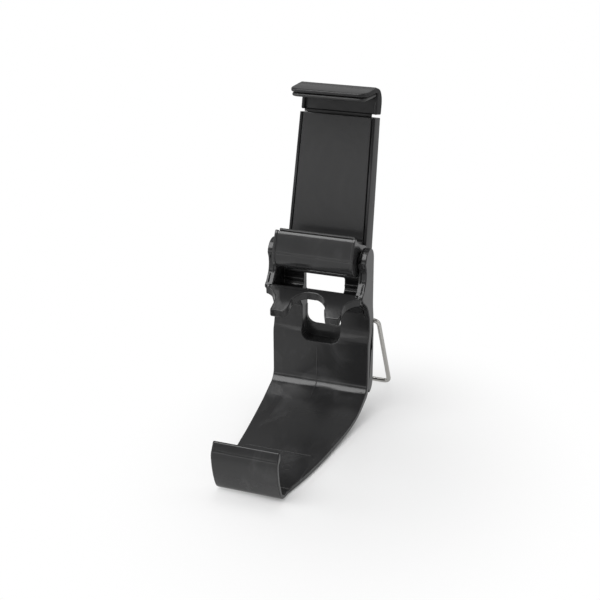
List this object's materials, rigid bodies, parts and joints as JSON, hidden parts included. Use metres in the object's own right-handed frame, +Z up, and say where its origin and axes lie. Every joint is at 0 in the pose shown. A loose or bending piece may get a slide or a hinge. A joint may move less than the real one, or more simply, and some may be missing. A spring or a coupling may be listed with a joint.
{
  "type": "controller phone holder",
  "caption": "Black phone clamp for a game controller, with a hooked strap bracket, a tilting sprung clamp and a folding wire stand.",
  "frame": {"origin": "on the table, under the centre of the whole holder's bounding box", "axes": "+X to the holder's right as seen from the front, +Y to the back, where the wire stand is, +Z up"},
  "size_m": [0.0474, 0.1149, 0.1361],
  "materials": {
    "black_plastic": "satin-gloss moulded ABS, very dark charcoal",
    "black_rubber": "matte black soft rubber",
    "steel_wire": "bright nickel-plated steel"
  },
  "bodies": {
    "bracket": {"controller_bracket": "black_plastic"},
    "stand": {"wire_stand": "steel_wire"},
    "clamp": {"lower_jaw": "black_plastic", "end_cap_left": "black_plastic", "end_cap_right": "black_plastic", "friction_washer_left": "black_rubber", "friction_washer_right": "black_rubber", "lower_jaw_pad": "black_rubber", "clamp_front_plate": "black_plastic", "clamp_rear_cover": "black_plastic", "cover_screw_upper_left": "steel_wire", "cover_screw_upper_right": "steel_wire", "cover_screw_lower_left": "steel_wire", "cover_screw_lower_right": "steel_wire", "jaw_mount_screw_left": "steel_wire", "jaw_mount_screw_right": "steel_wire"},
    "upper_jaw_slide": {"slide_tongue": "black_plastic", "upper_jaw": "black_plastic", "upper_jaw_pad": "black_rubber", "stem_screw_left": "steel_wire", "stem_screw_right": "steel_wire"}
  },
  "joints": [
    {"name": "stand_fold", "type": "hinge", "parent": "bracket", "child": "stand", "pos_m": [0, 0.03723, 0.0385], "axis": [-1, 0, 0], "range_deg": [0, 56]},
    {"name": "clamp_tilt", "type": "hinge", "parent": "bracket", "child": "clamp", "pos_m": [0, 0.02782, 0.0685], "axis": [1, 0, 0], "range_deg": [-10, 80]},
    {"name": "jaw_slide", "type": "slide", "parent": "clamp", "child": "upper_jaw_slide", "axis": [0, 0.2377, 0.9713], "range_m": [0, 0.025], "stiffness_N_per_m": 120, "springref_m": -0.01}
  ]
}
